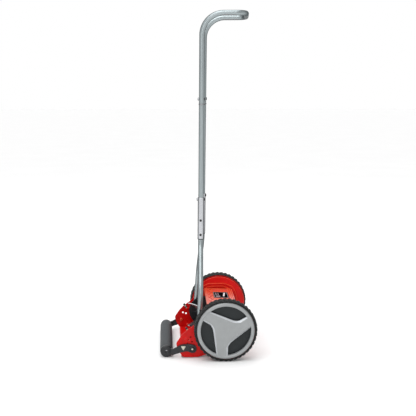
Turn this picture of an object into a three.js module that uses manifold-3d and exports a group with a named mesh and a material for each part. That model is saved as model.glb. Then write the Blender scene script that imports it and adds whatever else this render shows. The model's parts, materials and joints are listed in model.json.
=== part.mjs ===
// Reel mower in its parking position: two driven wheels, a five-blade reel with its bed knife, a rear
// roller on adjustable arms, and a three-piece tubular handle that stands upright.
// Millimetres. +X points forward, +Y to the mower's left, +Z up. The origin is on the ground, under the
// middle of the mower's outline.
import * as THREE from "three";
import { mergeVertices } from "three/addons/utils/BufferGeometryUtils.js";
import Module from "manifold-3d";

const wasm = await Module();
wasm.setup();

// ---------------------------------------------------------------- driving dimensions
const GAP = 0.3; // between pieces that touch
const RUNNING = 0.08; // radial play of a running fit

const WHEEL_RADIUS = 110;
const WHEEL_INNER = 178; // distance of the tyre's inner face from the middle plane
const WHEEL_OUTER = 218;
const RIM_RADIUS = 104;
const AXLE_RADIUS = 6.5;

const RING_INNER = 88; // inner edge of the hub cap's rim ring

const GEAR_MODULE = 2.5;
const RING_TEETH = 64;
const PINION_TEETH = 13;
const GEAR_INNER = 181;
const GEAR_WIDTH = 12;
const REEL_DIRECTION = THREE.MathUtils.degToRad(204.55); // from the axle to the reel's axis

const REEL_RADIUS = 70;
const REEL_HALF = 138;
const BLADE_COUNT = 5;
const BLADE_THICKNESS = 3;
const BLADE_ROOT = 45;
const BLADE_TWIST = THREE.MathUtils.degToRad(66);
const BLADE_PHASE = THREE.MathUtils.degToRad(48.9); // angle of the first blade at the middle plane
const REEL_SHAFT_RADIUS = 7;
const SPIDER_THICKNESS = 3;
const DISC_RADIUS = 58;
const DISC_THICKNESS = 2.4;

const PLATE_INNER = 165;
const PLATE_THICKNESS = 3;
const PLATE_OUTER = PLATE_INNER + PLATE_THICKNESS;
const COVER_RADIUS = 100;

const ROLLER = { x: -205.5, radius: 22.5, half: 148, bore: 5.3 };
const ARM_PIVOT = { x: -115, z: 33.5 };
const ARM_CLAMP = { x: -146.5, z: 42 };

const KNIFE_PIVOT = { x: -122, z: 22.6 };
const CARRIER_TOP = 13;
const KNIFE_THICKNESS = 3;

const ROOF_REAR = { x: -57, z: 167 };
const ROOF_FRONT = { x: 49, z: 163.5 };
const ROOF_THICKNESS = 2;

const TUBE_RADIUS = 9.5;
const TUBE_WALL = 1.2;
const SLEEVE_RADIUS = 11.4;
const HANDLE_TWIST = THREE.MathUtils.degToRad(5.5); // the upper handle's turn about the upright
const HANDLE_PIVOT = { x: -88.5, z: 108 };
const TUBE_FOOT_SIDE = 154; // distance of each lower tube from the middle plane
const SLEEVE_BOTTOM = 406;
const SLEEVE_TOP = 555;
const MIDDLE_TOP = 884;
const GRIP_HEIGHT = 1193; // centre of the grip bar
const GRIP_REACH = 150; // from the legs to the grip bar
const GRIP_BEND = 74;
const GRIP_CORNER = 34;

// ---------------------------------------------------------------- worked-out places
const AXLE = { x: 0, z: WHEEL_RADIUS };
const GEAR_DISTANCE = (GEAR_MODULE * (RING_TEETH - PINION_TEETH)) / 2;
const REEL = {
  x: AXLE.x + GEAR_DISTANCE * Math.cos(REEL_DIRECTION),
  z: AXLE.z + GEAR_DISTANCE * Math.sin(REEL_DIRECTION),
};
const REAR_END = ROLLER.x - ROLLER.radius;
const ORIGIN_SHIFT = -(REAR_END + WHEEL_RADIUS) / 2;

const SIDES = [
  { name: "right", sign: -1 },
  { name: "left", sign: 1 },
];

// ---------------------------------------------------------------- materials
function finish(color, roughness, metalness = 0) {
  return new THREE.MeshStandardMaterial({ color, roughness, metalness });
}

const COLOURS = {
  redPaint: [0xd01a18, 0.35, 0.1],
  redPlastic: [0xd11f1c, 0.5],
  blackPaint: [0x1c1f21, 0.45, 0.3],
  blackPlastic: [0x26292b, 0.6],
  greyPlastic: [0xa6a9aa, 0.45],
  rubber: [0x1e2221, 0.85],
  roller: [0x55585a, 0.75],
  tube: [0x98a3a3, 0.35, 0.6],
  brightSteel: [0xc2c6c8, 0.3, 0.9],
  bladeSteel: [0x2a2c2e, 0.4, 0.6],
  zinc: [0xcfcabb, 0.35, 0.8],
  label: [0x15171b, 0.4],
};

// ---------------------------------------------------------------- solid helpers
// A closed geometry as a manifold, turned to face outwards.
function solid(geometry) {
  const bare = geometry.clone();
  bare.deleteAttribute("normal");
  bare.deleteAttribute("uv");
  const merged = mergeVertices(bare, 1e-4);
  const triVerts = new Uint32Array(merged.index.array);
  const vertProperties = merged.attributes.position.array;
  const made = new wasm.Manifold(new wasm.Mesh({ numProp: 3, vertProperties, triVerts }));
  if (made.volume() > 0) return made;
  for (let i = 0; i < triVerts.length; i += 3) {
    [triVerts[i + 1], triVerts[i + 2]] = [triVerts[i + 2], triVerts[i + 1]];
  }
  return new wasm.Manifold(new wasm.Mesh({ numProp: 3, vertProperties, triVerts }));
}

function geometryOf(made) {
  const mesh = made.getMesh();
  const positions = new Float32Array(mesh.numVert * 3);
  for (let i = 0; i < mesh.numVert; i++) {
    const start = i * mesh.numProp;
    positions.set(mesh.vertProperties.subarray(start, start + 3), i * 3);
  }
  const geometry = new THREE.BufferGeometry();
  geometry.setAttribute("position", new THREE.BufferAttribute(positions, 3));
  geometry.setIndex(new THREE.BufferAttribute(mesh.triVerts, 1));
  return geometry;
}

function join(...geometries) {
  return geometryOf(geometries.map(solid).reduce((sum, piece) => sum.add(piece)));
}

function cut(base, ...tools) {
  return geometryOf(tools.map(solid).reduce((rest, tool) => rest.subtract(tool), solid(base)));
}

// The same piece on the mower's other side.
function onSide(geometry, sign) {
  return geometryOf(solid(geometry.clone().scale(1, sign, 1)));
}

// A profile in the X-Z plane, extruded from y = low to y = high.
function plate(shape, low, high, curveSegments = 6) {
  const depth = high - low;
  return new THREE.ExtrudeGeometry(shape, { depth, bevelEnabled: false, curveSegments })
    .rotateX(Math.PI / 2)
    .translate(0, high, 0);
}

// A closed polygon whose corners are [x, z] or [x, z, reach], the reach being how far along both edges
// the corner's rounding starts.
function roundedShape(corners) {
  const points = corners.map(([x, z]) => new THREE.Vector2(x, z));
  const ordered = THREE.ShapeUtils.isClockWise(points) ? [...corners].reverse() : corners;
  const shape = new THREE.Shape();
  ordered.forEach(([x, z, reach = 0], i) => {
    const here = new THREE.Vector2(x, z);
    const back = new THREE.Vector2(...ordered.at(i - 1).slice(0, 2)).sub(here);
    const ahead = new THREE.Vector2(...ordered[(i + 1) % ordered.length].slice(0, 2)).sub(here);
    const start = back.clone().clampLength(0, Math.min(reach, 0.48 * back.length())).add(here);
    const end = ahead.clone().clampLength(0, Math.min(reach, 0.48 * ahead.length())).add(here);
    if (!reach) {
      if (i === 0) shape.moveTo(x, z);
      else shape.lineTo(x, z);
      return;
    }
    if (i === 0) shape.moveTo(start.x, start.y);
    else shape.lineTo(start.x, start.y);
    shape.quadraticCurveTo(x, z, end.x, end.y);
  });
  shape.closePath();
  return shape;
}

function roundHole(x, z, radius) {
  return new THREE.Path().absarc(x, z, radius, 0, 2 * Math.PI, true);
}

// A cylinder along Y, standing at x and z.
function barY(radius, low, high, { x = 0, z = 0 } = {}, sides = 16) {
  return new THREE.CylinderGeometry(radius, radius, high - low, sides).translate(x, (low + high) / 2, z);
}

// A ring or stepped piece turned about an axis along Y; the profile is a closed list of [radius, y].
// Its facets, not its corners, point up, down, forward and back.
function turnedY(profile, segments, { x = 0, z = 0 } = {}) {
  const closedProfile = [...profile, profile[0]].map(([r, y]) => new THREE.Vector2(r, y));
  return new THREE.LatheGeometry(closedProfile, segments, Math.PI / segments).translate(x, 0, z);
}

// The corner radius of a turned piece whose facets lie at the given radius.
function cornerRadius(facetRadius, segments) {
  return facetRadius / Math.cos(Math.PI / segments);
}

function box(sizeX, sizeY, sizeZ, x, y, z) {
  return new THREE.BoxGeometry(sizeX, sizeY, sizeZ).translate(x, y, z);
}

// A bolt with a round head and a nut, along the direction from head to nut.
function bolt(from, to, shankRadius, headRadius, headHeight, sides = 8) {
  const start = new THREE.Vector3(...from);
  const end = new THREE.Vector3(...to);
  const length = start.distanceTo(end);
  const profile = [
    [0, -headHeight],
    [headRadius * 0.8, -headHeight],
    [headRadius, -headHeight * 0.5],
    [headRadius, 0],
    [shankRadius, 0],
    [shankRadius, length],
    [0, length],
  ].map(([r, y]) => new THREE.Vector2(r, y));
  const turn = new THREE.Quaternion().setFromUnitVectors(
    new THREE.Vector3(0, 1, 0),
    end.clone().sub(start).normalize(),
  );
  return new THREE.LatheGeometry(profile, sides).applyQuaternion(turn).translate(...from);
}

// ---------------------------------------------------------------- tubes
// A run of straight stretches through its own stations, with no points added between them.
class StationCurve extends THREE.Curve {
  constructor(stations) {
    super();
    this.stations = stations;
  }
  getPoint(t) {
    const last = this.stations.length - 1;
    const index = Math.min(Math.floor(t * last + 1e-6), last - 1);
    return this.stations[index].clone().lerp(this.stations[index + 1], t * last - index);
  }
  getPointAt(u) {
    return this.getPoint(u);
  }
  getTangentAt(u) {
    const last = this.stations.length - 1;
    const index = Math.round(u * last);
    const ahead = this.stations[Math.min(index + 1, last)].clone();
    const here = this.stations[index];
    const behind = this.stations[Math.max(index - 1, 0)];
    const forward = ahead.sub(here).normalize();
    return forward.add(here.clone().sub(behind).normalize()).normalize();
  }
}

// The corner points of a polyline, with each inner corner rounded to the given radius.
function bentRun(corners, radii, steps) {
  const stations = [corners[0].clone()];
  for (let i = 1; i < corners.length - 1; i++) {
    const back = corners[i - 1].clone().sub(corners[i]).normalize();
    const ahead = corners[i + 1].clone().sub(corners[i]).normalize();
    const half = back.angleTo(ahead) / 2;
    const reach = radii[i - 1] / Math.tan(half);
    const centre = corners[i]
      .clone()
      .add(back.clone().add(ahead).setLength(radii[i - 1] / Math.sin(half)));
    const first = corners[i].clone().addScaledVector(back, reach).sub(centre);
    const last = corners[i].clone().addScaledVector(ahead, reach).sub(centre);
    const sweep = first.angleTo(last);
    const axis = first.clone().cross(last).normalize();
    for (let k = 0; k <= steps[i - 1]; k++) {
      stations.push(first.clone().applyAxisAngle(axis, (sweep * k) / steps[i - 1]).add(centre));
    }
  }
  stations.push(corners.at(-1).clone());
  return stations;
}

function hollowTube(stations, outer, inner, halfSides = 5) {
  const section = new THREE.Shape().absarc(0, 0, outer, 0, 2 * Math.PI, false);
  section.holes.push(new THREE.Path().absarc(0, 0, inner, 0, 2 * Math.PI, true));
  return new THREE.ExtrudeGeometry(section, {
    steps: stations.length - 1,
    curveSegments: halfSides,
    bevelEnabled: false,
    extrudePath: new StationCurve(stations),
  });
}

// A straight stepped tube between two points; the profile is a closed list of [radius, distance].
function steppedTube(profile, from, direction, segments = 12) {
  const closedProfile = [...profile, profile[0]].map(([r, y]) => new THREE.Vector2(r, y));
  const turn = new THREE.Quaternion().setFromUnitVectors(new THREE.Vector3(0, 1, 0), direction);
  return new THREE.LatheGeometry(closedProfile, segments)
    .applyQuaternion(turn)
    .translate(from.x, from.y, from.z);
}

// ---------------------------------------------------------------- scene graph
const mower = new THREE.Group();
mower.position.x = ORIGIN_SHIFT;

function addPiece(name, geometry, colour) {
  const piece = new THREE.Mesh(geometryOf(solid(geometry)), finish(...COLOURS[colour]));
  piece.name = name;
  mower.add(piece);
}

function addPair(name, geometry, colour) {
  for (const { name: side, sign } of SIDES) addPiece(`${name}_${side}`, onSide(geometry, sign), colour);
}

// ---------------------------------------------------------------- chassis
function sidePlate() {
  const outline = roundedShape([
    [-146, 2.5, 7],
    [-157, 16, 6],
    [-168.5, 39, 5],
    [-172, 53, 8],
    [-154.5, 79, 5],
    [-139.5, 94.5, 6],
    [-108, 118.5, 5],
    [-101, 128, 5],
    [-82, 121, 6],
    [-67, 132, 8],
    [-57, 160, 5],
    [46, 157, 8],
    [62, 118, 18],
    [48, 62, 20],
    [0, 44, 20],
    [-46, 14, 14],
    [-72, 9.5, 6],
    [-94, 2.5, 6],
  ]);
  const holes = [
    [REEL, 12.5],
    [AXLE, AXLE_RADIUS + GAP],
    [{ x: -139.8, z: 69.5 }, 3.6],
    [{ x: -127.8, z: 65.6 }, 3.6],
    [KNIFE_PIVOT, 3.7],
    [ARM_PIVOT, 4.5],
    [ARM_CLAMP, 3.8],
    [HANDLE_PIVOT, 4.5],
  ].map(([place, radius]) => barY(radius, PLATE_INNER - 1, PLATE_OUTER + 1, place, 14));
  // The handle's upright stop: a tab bent inwards, in front of the lower tube.
  const tabDepth = 12;
  const tubeLean = 1.5; // how far forward the tube has moved at the tab's height
  const tabX = HANDLE_PIVOT.x + TUBE_RADIUS + GAP + 1.5 + tubeLean;
  const tab = box(3, tabDepth + 1, 12, tabX, PLATE_INNER - tabDepth / 2 + 0.5, HANDLE_PIVOT.z + 13);
  return cut(join(plate(outline, PLATE_INNER, PLATE_OUTER, 3), tab), ...holes);
}

function gearCover() {
  const inner = PLATE_OUTER + GAP;
  const disc = turnedY(
    [
      [9, inner],
      [COVER_RADIUS, inner],
      [COVER_RADIUS, WHEEL_INNER - 0.5],
      [COVER_RADIUS - 2, WHEEL_INNER - 0.5],
      [COVER_RADIUS - 2, inner + 2],
      [9, inner + 2],
    ],
    28,
    AXLE,
  );
  return cut(disc, barY(14, inner - 1, inner + 3, REEL, 14));
}

function stubAxle() {
  const head = PLATE_INNER - GAP;
  return new THREE.LatheGeometry(
    [
      [0, head - 6],
      [9, head - 6],
      [9, head],
      [AXLE_RADIUS, head],
      [AXLE_RADIUS, 205],
      [0, 205],
    ].map(([r, y]) => new THREE.Vector2(r, y)),
    20,
  ).translate(AXLE.x, 0, AXLE.z);
}

function reelBearing() {
  return turnedY(
    [
      [REEL_SHAFT_RADIUS + RUNNING + 0.1, 158],
      [15, 158],
      [15, PLATE_INNER - GAP],
      [12, PLATE_INNER - GAP],
      [12, 171.5],
      [REEL_SHAFT_RADIUS + RUNNING + 0.1, 171.5],
    ],
    20,
    REEL,
  );
}

function deflectorCover() {
  const { x: rear, z: rearTop } = ROOF_REAR;
  const { x: front, z: frontTop } = ROOF_FRONT;
  const t = ROOF_THICKNESS;
  const profile = roundedShape([
    [rear, rearTop - 11],
    [rear, rearTop, 4],
    [front, frontTop, 6],
    [front + 5, frontTop - 20],
    [front + 5 - t, frontTop - 20],
    [front - t, frontTop - t, 4],
    [rear + t, rearTop - t, 3],
    [rear + t, rearTop - 11],
  ]);
  const half = PLATE_INNER - GAP;
  const sheet = plate(profile, -half, half, 3);
  const tabs = [-1, 1].flatMap((sign) =>
    [-30, 26].map((x) => box(22, t, 16, x, sign * (half - t / 2), 157.5)),
  );
  return join(sheet, ...tabs);
}

function coverDecal() {
  const slope = Math.atan2(ROOF_REAR.z - ROOF_FRONT.z, ROOF_FRONT.x - ROOF_REAR.x);
  const centre = { x: 1.5, y: 61 };
  const share = (centre.x - ROOF_REAR.x) / (ROOF_FRONT.x - ROOF_REAR.x);
  const height = THREE.MathUtils.lerp(ROOF_REAR.z, ROOF_FRONT.z, share) + GAP + 0.3;
  return new THREE.BoxGeometry(56, 84, 0.5).rotateY(slope).translate(centre.x, centre.y, height);
}

// ---------------------------------------------------------------- bed knife and its carrier
function bedKnifeCarrier() {
  const half = PLATE_INNER - GAP;
  const channel = roundedShape([
    [-153, 4],
    [-153, CARRIER_TOP, 4],
    [-88, CARRIER_TOP],
    [-88, CARRIER_TOP - 3],
    [-112, CARRIER_TOP - 3],
    [-115, 4],
    [-118, 4],
    [-118, CARRIER_TOP - 3],
    [-150, CARRIER_TOP - 3],
    [-150, 4],
  ]);
  const ear = roundedShape([
    [-133, CARRIER_TOP - 1],
    [-133, 26, 5],
    [-122.5, 44],
    [-121, 80],
    [-126, 88, 2],
    [-118, 92.5, 2],
    [-107, 78, 4],
    [-109, 30],
    [-104, CARRIER_TOP - 1],
  ]);
  ear.holes.push(roundHole(KNIFE_PIVOT.x, KNIFE_PIVOT.z, 3.5));
  const ears = [1, -1].map((sign) => onSide(plate(ear, half - 3, half, 4), sign));
  const lug = box(13, 12, 3, 0, 0, 0).rotateY(THREE.MathUtils.degToRad(-30)).translate(-121.3, 0, 87.3);
  const lugs = [1, -1].map((sign) => lug.clone().translate(0, sign * (half - 8), 0));
  return join(plate(channel, -half, half, 3), ...ears, ...lugs);
}

function bedKnife() {
  const top = CARRIER_TOP + GAP + KNIFE_THICKNESS;
  const drop = REEL.z - top;
  const edge = REEL.x - Math.sqrt((REEL_RADIUS + 0.5) ** 2 - drop ** 2);
  const profile = roundedShape([
    [edge - 27, CARRIER_TOP + GAP],
    [edge - 3, CARRIER_TOP + GAP],
    [edge, top - 0.8],
    [edge, top],
    [edge - 27, top],
  ]);
  const half = REEL_HALF + 9;
  return plate(profile, -half, half);
}

// The screw stands on the plate's sloping edge and bears on the carrier's lug.
function adjusterScrew() {
  const head = new THREE.Vector3(-134.85, 0, 104.75);
  const tip = new THREE.Vector3(-125, 0, 88.7);
  const length = head.distanceTo(tip);
  const profile = [
    [0, -3],
    [4.2, -3],
    [5.6, -1.6],
    [5.6, 5],
    [3, 5],
    [3, length],
    [0, length],
  ].map(([r, y]) => new THREE.Vector2(r, y));
  const turn = new THREE.Quaternion().setFromUnitVectors(
    new THREE.Vector3(0, 1, 0),
    tip.clone().sub(head).normalize(),
  );
  return new THREE.LatheGeometry(profile, 12)
    .applyQuaternion(turn)
    .translate(head.x, PLATE_INNER - 9, head.z);
}

function knifePivotBolt() {
  const { x, z } = KNIFE_PIVOT;
  return bolt([x, PLATE_INNER - 3 - 2 * GAP - 0.2, z], [x, PLATE_OUTER, z], 3.4, 5.6, 3.2);
}

// ---------------------------------------------------------------- roller and its arms
function rollerBody() {
  const segments = 32;
  const outer = cornerRadius(ROLLER.radius, segments);
  return turnedY(
    [
      [ROLLER.bore, -ROLLER.half],
      [outer, -ROLLER.half],
      [outer, ROLLER.half],
      [ROLLER.bore, ROLLER.half],
    ],
    segments,
    { x: ROLLER.x, z: ROLLER.radius },
  );
}

function rollerShaft() {
  const centre = { x: ROLLER.x, z: ROLLER.radius };
  return barY(ROLLER.bore - 0.3, -ROLLER.half - 3, ROLLER.half + 3, centre, 16);
}

function rollerArm() {
  const inner = PLATE_OUTER + GAP;
  const outer = inner + 5;
  const endInner = 156;
  const lever = roundedShape([
    [-182, 13],
    [-154, 21.5, 20],
    [-134, 26, 8],
    [-125, 22, 4],
    [-115, 18.4, 8],
    [-103, 21, 8],
    [-99.5, 33.5, 10],
    [-103, 46, 8],
    [-120, 51, 8],
    [-154, 50, 8],
    [-182, 34],
  ]);
  const crank = new THREE.Shape()
    .moveTo(-181, inner)
    .lineTo(-181, outer)
    .lineTo(-186, outer)
    .lineTo(-195, endInner + 5)
    .lineTo(-195, endInner)
    .lineTo(-187, endInner)
    .closePath();
  const crankBody = new THREE.ExtrudeGeometry(crank, { depth: 21, bevelEnabled: false }).translate(0, 0, 13);
  const endShape = roundedShape([[-208, 2], [-193, 8], [-193, 34.5], [-208, 43]]);
  const cap = turnedY(
    [
      [5.2, ROLLER.half + GAP],
      [21.5, ROLLER.half + GAP],
      [21.5, endInner + 3],
      [17, endInner + 6],
      [5.2, endInner + 6],
    ],
    20,
    { x: ROLLER.x, z: ROLLER.radius },
  );
  const arm = join(plate(lever, inner, outer, 3), crankBody, plate(endShape, endInner, endInner + 5), cap);
  return cut(
    arm,
    barY(5.2, 140, endInner + 7, { x: ROLLER.x, z: ROLLER.radius }),
    barY(4.6, inner - 1, outer + 1, ARM_PIVOT, 12),
  );
}

function armPivotRivet() {
  const { x, z } = ARM_PIVOT;
  const head = PLATE_OUTER + 5 + 2 * GAP;
  return bolt([x, head, z], [x, PLATE_INNER, z], 4.2, 8, 3);
}

function armClampNut() {
  const start = PLATE_OUTER + 5 + 2 * GAP;
  const corners = [0, 1, 2].map((i) => {
    const angle = -Math.PI / 2 + (i * 2 * Math.PI) / 3;
    return [ARM_CLAMP.x + 10 * Math.cos(angle), ARM_CLAMP.z - 2 + 10 * Math.sin(angle), 3];
  });
  return plate(roundedShape(corners), start, start + 5, 3);
}

function clampBolt() {
  const { x, z } = ARM_CLAMP;
  return bolt([x, PLATE_INNER - GAP, z], [x, PLATE_OUTER, z], 3.5, 7.4, 4, 12);
}

// ---------------------------------------------------------------- reel
function reelShaft() {
  return barY(REEL_SHAFT_RADIUS, -194, 194, REEL, 20);
}

// Where the helix stands at a distance along the reel.
function bladeAngle(index, y) {
  return BLADE_PHASE + (index * 2 * Math.PI) / BLADE_COUNT + (BLADE_TWIST * y) / (2 * REEL_HALF);
}

function reelBlade(index) {
  const steps = 18;
  const corners = [
    [BLADE_ROOT, -BLADE_THICKNESS / 2],
    [REEL_RADIUS, -BLADE_THICKNESS / 2],
    [REEL_RADIUS - 1.2, BLADE_THICKNESS / 2],
    [BLADE_ROOT, BLADE_THICKNESS / 2],
  ];
  const positions = [];
  const faces = [];
  for (let k = 0; k <= steps; k++) {
    const y = THREE.MathUtils.lerp(-REEL_HALF, REEL_HALF, k / steps);
    const angle = bladeAngle(index, y);
    for (const [radius, across] of corners) {
      const reach = Math.sqrt(radius ** 2 - across ** 2);
      positions.push(
        REEL.x + reach * Math.cos(angle) - across * Math.sin(angle),
        y,
        REEL.z + reach * Math.sin(angle) + across * Math.cos(angle),
      );
    }
  }
  for (let k = 0; k < steps; k++) {
    for (let c = 0; c < 4; c++) {
      const a = 4 * k + c;
      const b = 4 * k + ((c + 1) % 4);
      faces.push(a, b, b + 4, a, b + 4, a + 4);
    }
  }
  const end = 4 * steps;
  faces.push(0, 2, 1, 0, 3, 2, end, end + 1, end + 2, end, end + 2, end + 3);
  const geometry = new THREE.BufferGeometry();
  geometry.setAttribute("position", new THREE.Float32BufferAttribute(positions, 3));
  geometry.setIndex(faces);
  return geometry;
}

// The disc that closes an end of the reel.
function reelDisc() {
  const shape = new THREE.Shape().absarc(REEL.x, REEL.z, DISC_RADIUS, 0, 2 * Math.PI, false);
  shape.holes.push(roundHole(REEL.x, REEL.z, REEL_SHAFT_RADIUS + GAP));
  return plate(shape, REEL_HALF + GAP, REEL_HALF + GAP + DISC_THICKNESS, 16);
}

// A pressed star at the reel's middle, with one arm under each blade.
function reelSpider(y) {
  const shape = new THREE.Shape();
  const hub = 24;
  const reach = BLADE_ROOT - 2 * GAP;
  for (let i = 0; i < BLADE_COUNT; i++) {
    const angle = bladeAngle(i, y);
    for (const [radius, turn] of [[reach, -0.16], [reach, 0.16], [hub, 0.5]]) {
      const x = REEL.x + radius * Math.cos(angle + turn);
      const z = REEL.z + radius * Math.sin(angle + turn);
      if (i === 0 && turn === -0.16) shape.moveTo(x, z);
      else shape.lineTo(x, z);
    }
  }
  shape.closePath();
  shape.holes.push(roundHole(REEL.x, REEL.z, REEL_SHAFT_RADIUS + GAP));
  return plate(shape, y - SPIDER_THICKNESS / 2, y + SPIDER_THICKNESS / 2, 6);
}

// ---------------------------------------------------------------- gears
// One tooth is four points: root, tip, tip, root, as half angles about the tooth's middle.
function toothedShape(shape, teeth, start, rootRadius, tipRadius, rootHalf, tipHalf) {
  const pitchAngle = (2 * Math.PI) / teeth;
  for (let i = 0; i < teeth; i++) {
    const middle = start + i * pitchAngle;
    const points = [
      [rootRadius, -rootHalf / rootRadius],
      [tipRadius, -tipHalf / tipRadius],
      [tipRadius, tipHalf / tipRadius],
      [rootRadius, rootHalf / rootRadius],
    ];
    points.forEach(([radius, turn], k) => {
      const x = radius * Math.cos(middle + turn);
      const z = radius * Math.sin(middle + turn);
      if (i === 0 && k === 0) shape.moveTo(x, z);
      else shape.lineTo(x, z);
    });
  }
  shape.closePath();
  return shape;
}

function ringGear() {
  const pitchRadius = (GEAR_MODULE * RING_TEETH) / 2;
  const shape = new THREE.Shape().absarc(0, 0, pitchRadius + 12, 0, 2 * Math.PI, false);
  const tooth = Math.PI / RING_TEETH;
  // Each notch of the hole is the space between two teeth, the first one facing the pinion.
  shape.holes.push(
    toothedShape(
      new THREE.Path(),
      RING_TEETH,
      REEL_DIRECTION,
      pitchRadius - 0.9 * GEAR_MODULE,
      pitchRadius + 1.2 * GEAR_MODULE,
      pitchRadius * tooth * 0.5 + 1.05,
      pitchRadius * tooth * 0.5 - 0.7,
    ),
  );
  return plate(shape, GEAR_INNER, GEAR_INNER + GEAR_WIDTH, 16).translate(AXLE.x, 0, AXLE.z);
}

function pinion() {
  const pitchRadius = (GEAR_MODULE * PINION_TEETH) / 2;
  const shape = toothedShape(
    new THREE.Shape(),
    PINION_TEETH,
    REEL_DIRECTION,
    pitchRadius - 1.15 * GEAR_MODULE,
    pitchRadius + 0.9 * GEAR_MODULE,
    2.3,
    0.75,
  );
  shape.holes.push(roundHole(0, 0, REEL_SHAFT_RADIUS + RUNNING + 0.1));
  return plate(shape, GEAR_INNER, GEAR_INNER + GEAR_WIDTH, 10).translate(REEL.x, 0, REEL.z);
}

// ---------------------------------------------------------------- wheels
function wheelBody() {
  return turnedY(
    [
      [AXLE_RADIUS + RUNNING + 0.05, 171.5],
      [14, 171.5],
      [16, 194.6],
      [RIM_RADIUS - 3, 194.6],
      [RIM_RADIUS - 3, WHEEL_INNER + 1],
      [RIM_RADIUS, WHEEL_INNER + 1],
      [RIM_RADIUS, 213.5],
      [RIM_RADIUS - 3, 213.5],
      [RIM_RADIUS - 3, 198],
      [14, 201.5],
      [AXLE_RADIUS + RUNNING + 0.05, 201.5],
    ],
    28,
    AXLE,
  );
}

function tyre() {
  const segments = 36;
  const seat = cornerRadius(RIM_RADIUS + GAP, segments);
  const tread = cornerRadius(WHEEL_RADIUS, segments);
  return turnedY(
    [
      [seat, WHEEL_INNER],
      [tread - 3.5, WHEEL_INNER],
      [tread, WHEEL_INNER + 12],
      [tread, WHEEL_OUTER - 5],
      [tread - 3, WHEEL_OUTER],
      [RIM_RADIUS - 3, WHEEL_OUTER],
      [RIM_RADIUS - 3, 213.8],
      [seat, 213.8],
    ],
    segments,
    AXLE,
  );
}

function hubInsert() {
  return turnedY([[11.5, 205.4], [99.5, 205.4], [99.5, 208], [11.5, 208]], 28, AXLE);
}

// One of the three windows between the hub cap's spokes, turned about the axle.
function hubWindow(turn) {
  const at = (degrees, radius) => {
    const angle = THREE.MathUtils.degToRad(degrees) + turn;
    return [radius * Math.cos(angle), radius * Math.sin(angle)];
  };
  const start = THREE.MathUtils.degToRad(34.5) + turn;
  const end = THREE.MathUtils.degToRad(128) + turn;
  const shape = new THREE.Shape()
    .moveTo(...at(128, RING_INNER))
    .lineTo(...at(62, 43.5))
    .quadraticCurveTo(...at(46, 46.5), ...at(37.5, 58))
    .lineTo(...at(34.5, RING_INNER));
  shape.absarc(0, 0, RING_INNER, start, end, false);
  return plate(shape, 200, 230, 4).translate(AXLE.x, 0, AXLE.z);
}

function hubCap() {
  const base = 208.3;
  const dome = new THREE.LatheGeometry(
    [
      [0, base],
      [100.3, base],
      [100.3, 216.5],
      [97, 220],
      [92, 221],
      [RING_INNER, 219.5],
      [0, 219.5],
    ].map(([r, y]) => new THREE.Vector2(r, y)),
    36,
  ).translate(AXLE.x, 0, AXLE.z);
  const windows = [0, 1, 2].map((i) => hubWindow((i * 2 * Math.PI) / 3));
  return cut(dome, ...windows);
}

// ---------------------------------------------------------------- handle
// The handle's middle plane leans a little forward from the sleeves to the grip.
function handleX(z) {
  return -74.2 + (z - SLEEVE_BOTTOM) * 0.0099;
}

// A point of the twisted upper handle: its height and its distance from the middle plane.
function handlePoint(z, side) {
  return new THREE.Vector3(
    handleX(z) + side * Math.sin(HANDLE_TWIST),
    side * Math.cos(HANDLE_TWIST),
    z,
  );
}

const SLEEVE_SIDE = 58;
const MIDDLE_TOP_SIDE = 74;
const GRIP_SIDE = 88;
const BOLT_RADIUS = 3;
const FORWARD = new THREE.Vector3(Math.cos(HANDLE_TWIST), -Math.sin(HANDLE_TWIST), 0);

// A round hole through a tube, along the given direction.
function crossHole(centre, direction, radius) {
  const turn = new THREE.Quaternion().setFromUnitVectors(new THREE.Vector3(0, 1, 0), direction);
  return new THREE.CylinderGeometry(radius, radius, 60, 8)
    .applyQuaternion(turn)
    .translate(centre.x, centre.y, centre.z);
}

function middleLine(sign) {
  const from = handlePoint(SLEEVE_TOP + 12, sign * SLEEVE_SIDE);
  const to = handlePoint(MIDDLE_TOP, sign * MIDDLE_TOP_SIDE);
  return { from, to, direction: to.clone().sub(from).normalize() };
}

function upperJoint(sign) {
  const { to, direction } = middleLine(sign);
  return to.clone().addScaledVector(direction, 18);
}

function lowerJoint(sign) {
  return handlePoint(SLEEVE_TOP - 7, sign * SLEEVE_SIDE);
}

function lowerTube(sign) {
  const entry = handlePoint(SLEEVE_BOTTOM - 18, sign * SLEEVE_SIDE);
  const lean = (entry.x - HANDLE_PIVOT.x) / (entry.z - HANDLE_PIVOT.z);
  const atHeight = (z) =>
    new THREE.Vector3(HANDLE_PIVOT.x + (z - HANDLE_PIVOT.z) * lean, sign * TUBE_FOOT_SIDE, z);
  const foot = atHeight(HANDLE_PIVOT.z - 12);
  const knee = atHeight(236);
  const top = handlePoint(484, sign * SLEEVE_SIDE);
  const stations = bentRun([foot, knee, entry, top], [90, 60], [3, 3]);
  const tube = hollowTube(stations, TUBE_RADIUS, TUBE_RADIUS - TUBE_WALL);
  return cut(tube, barY(4.4, Math.min(0, sign * 200), Math.max(0, sign * 200), HANDLE_PIVOT, 12));
}

function sleeve(sign) {
  const from = handlePoint(SLEEVE_BOTTOM, sign * SLEEVE_SIDE);
  const to = handlePoint(SLEEVE_TOP, sign * SLEEVE_SIDE);
  const length = from.distanceTo(to);
  const inner = TUBE_RADIUS + 0.6;
  const profile = [[inner, 0], [SLEEVE_RADIUS, 0], [SLEEVE_RADIUS, length], [inner, length]];
  const tube = steppedTube(profile, from, to.clone().sub(from).normalize());
  return cut(tube, crossHole(lowerJoint(sign), FORWARD, BOLT_RADIUS + GAP));
}

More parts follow.
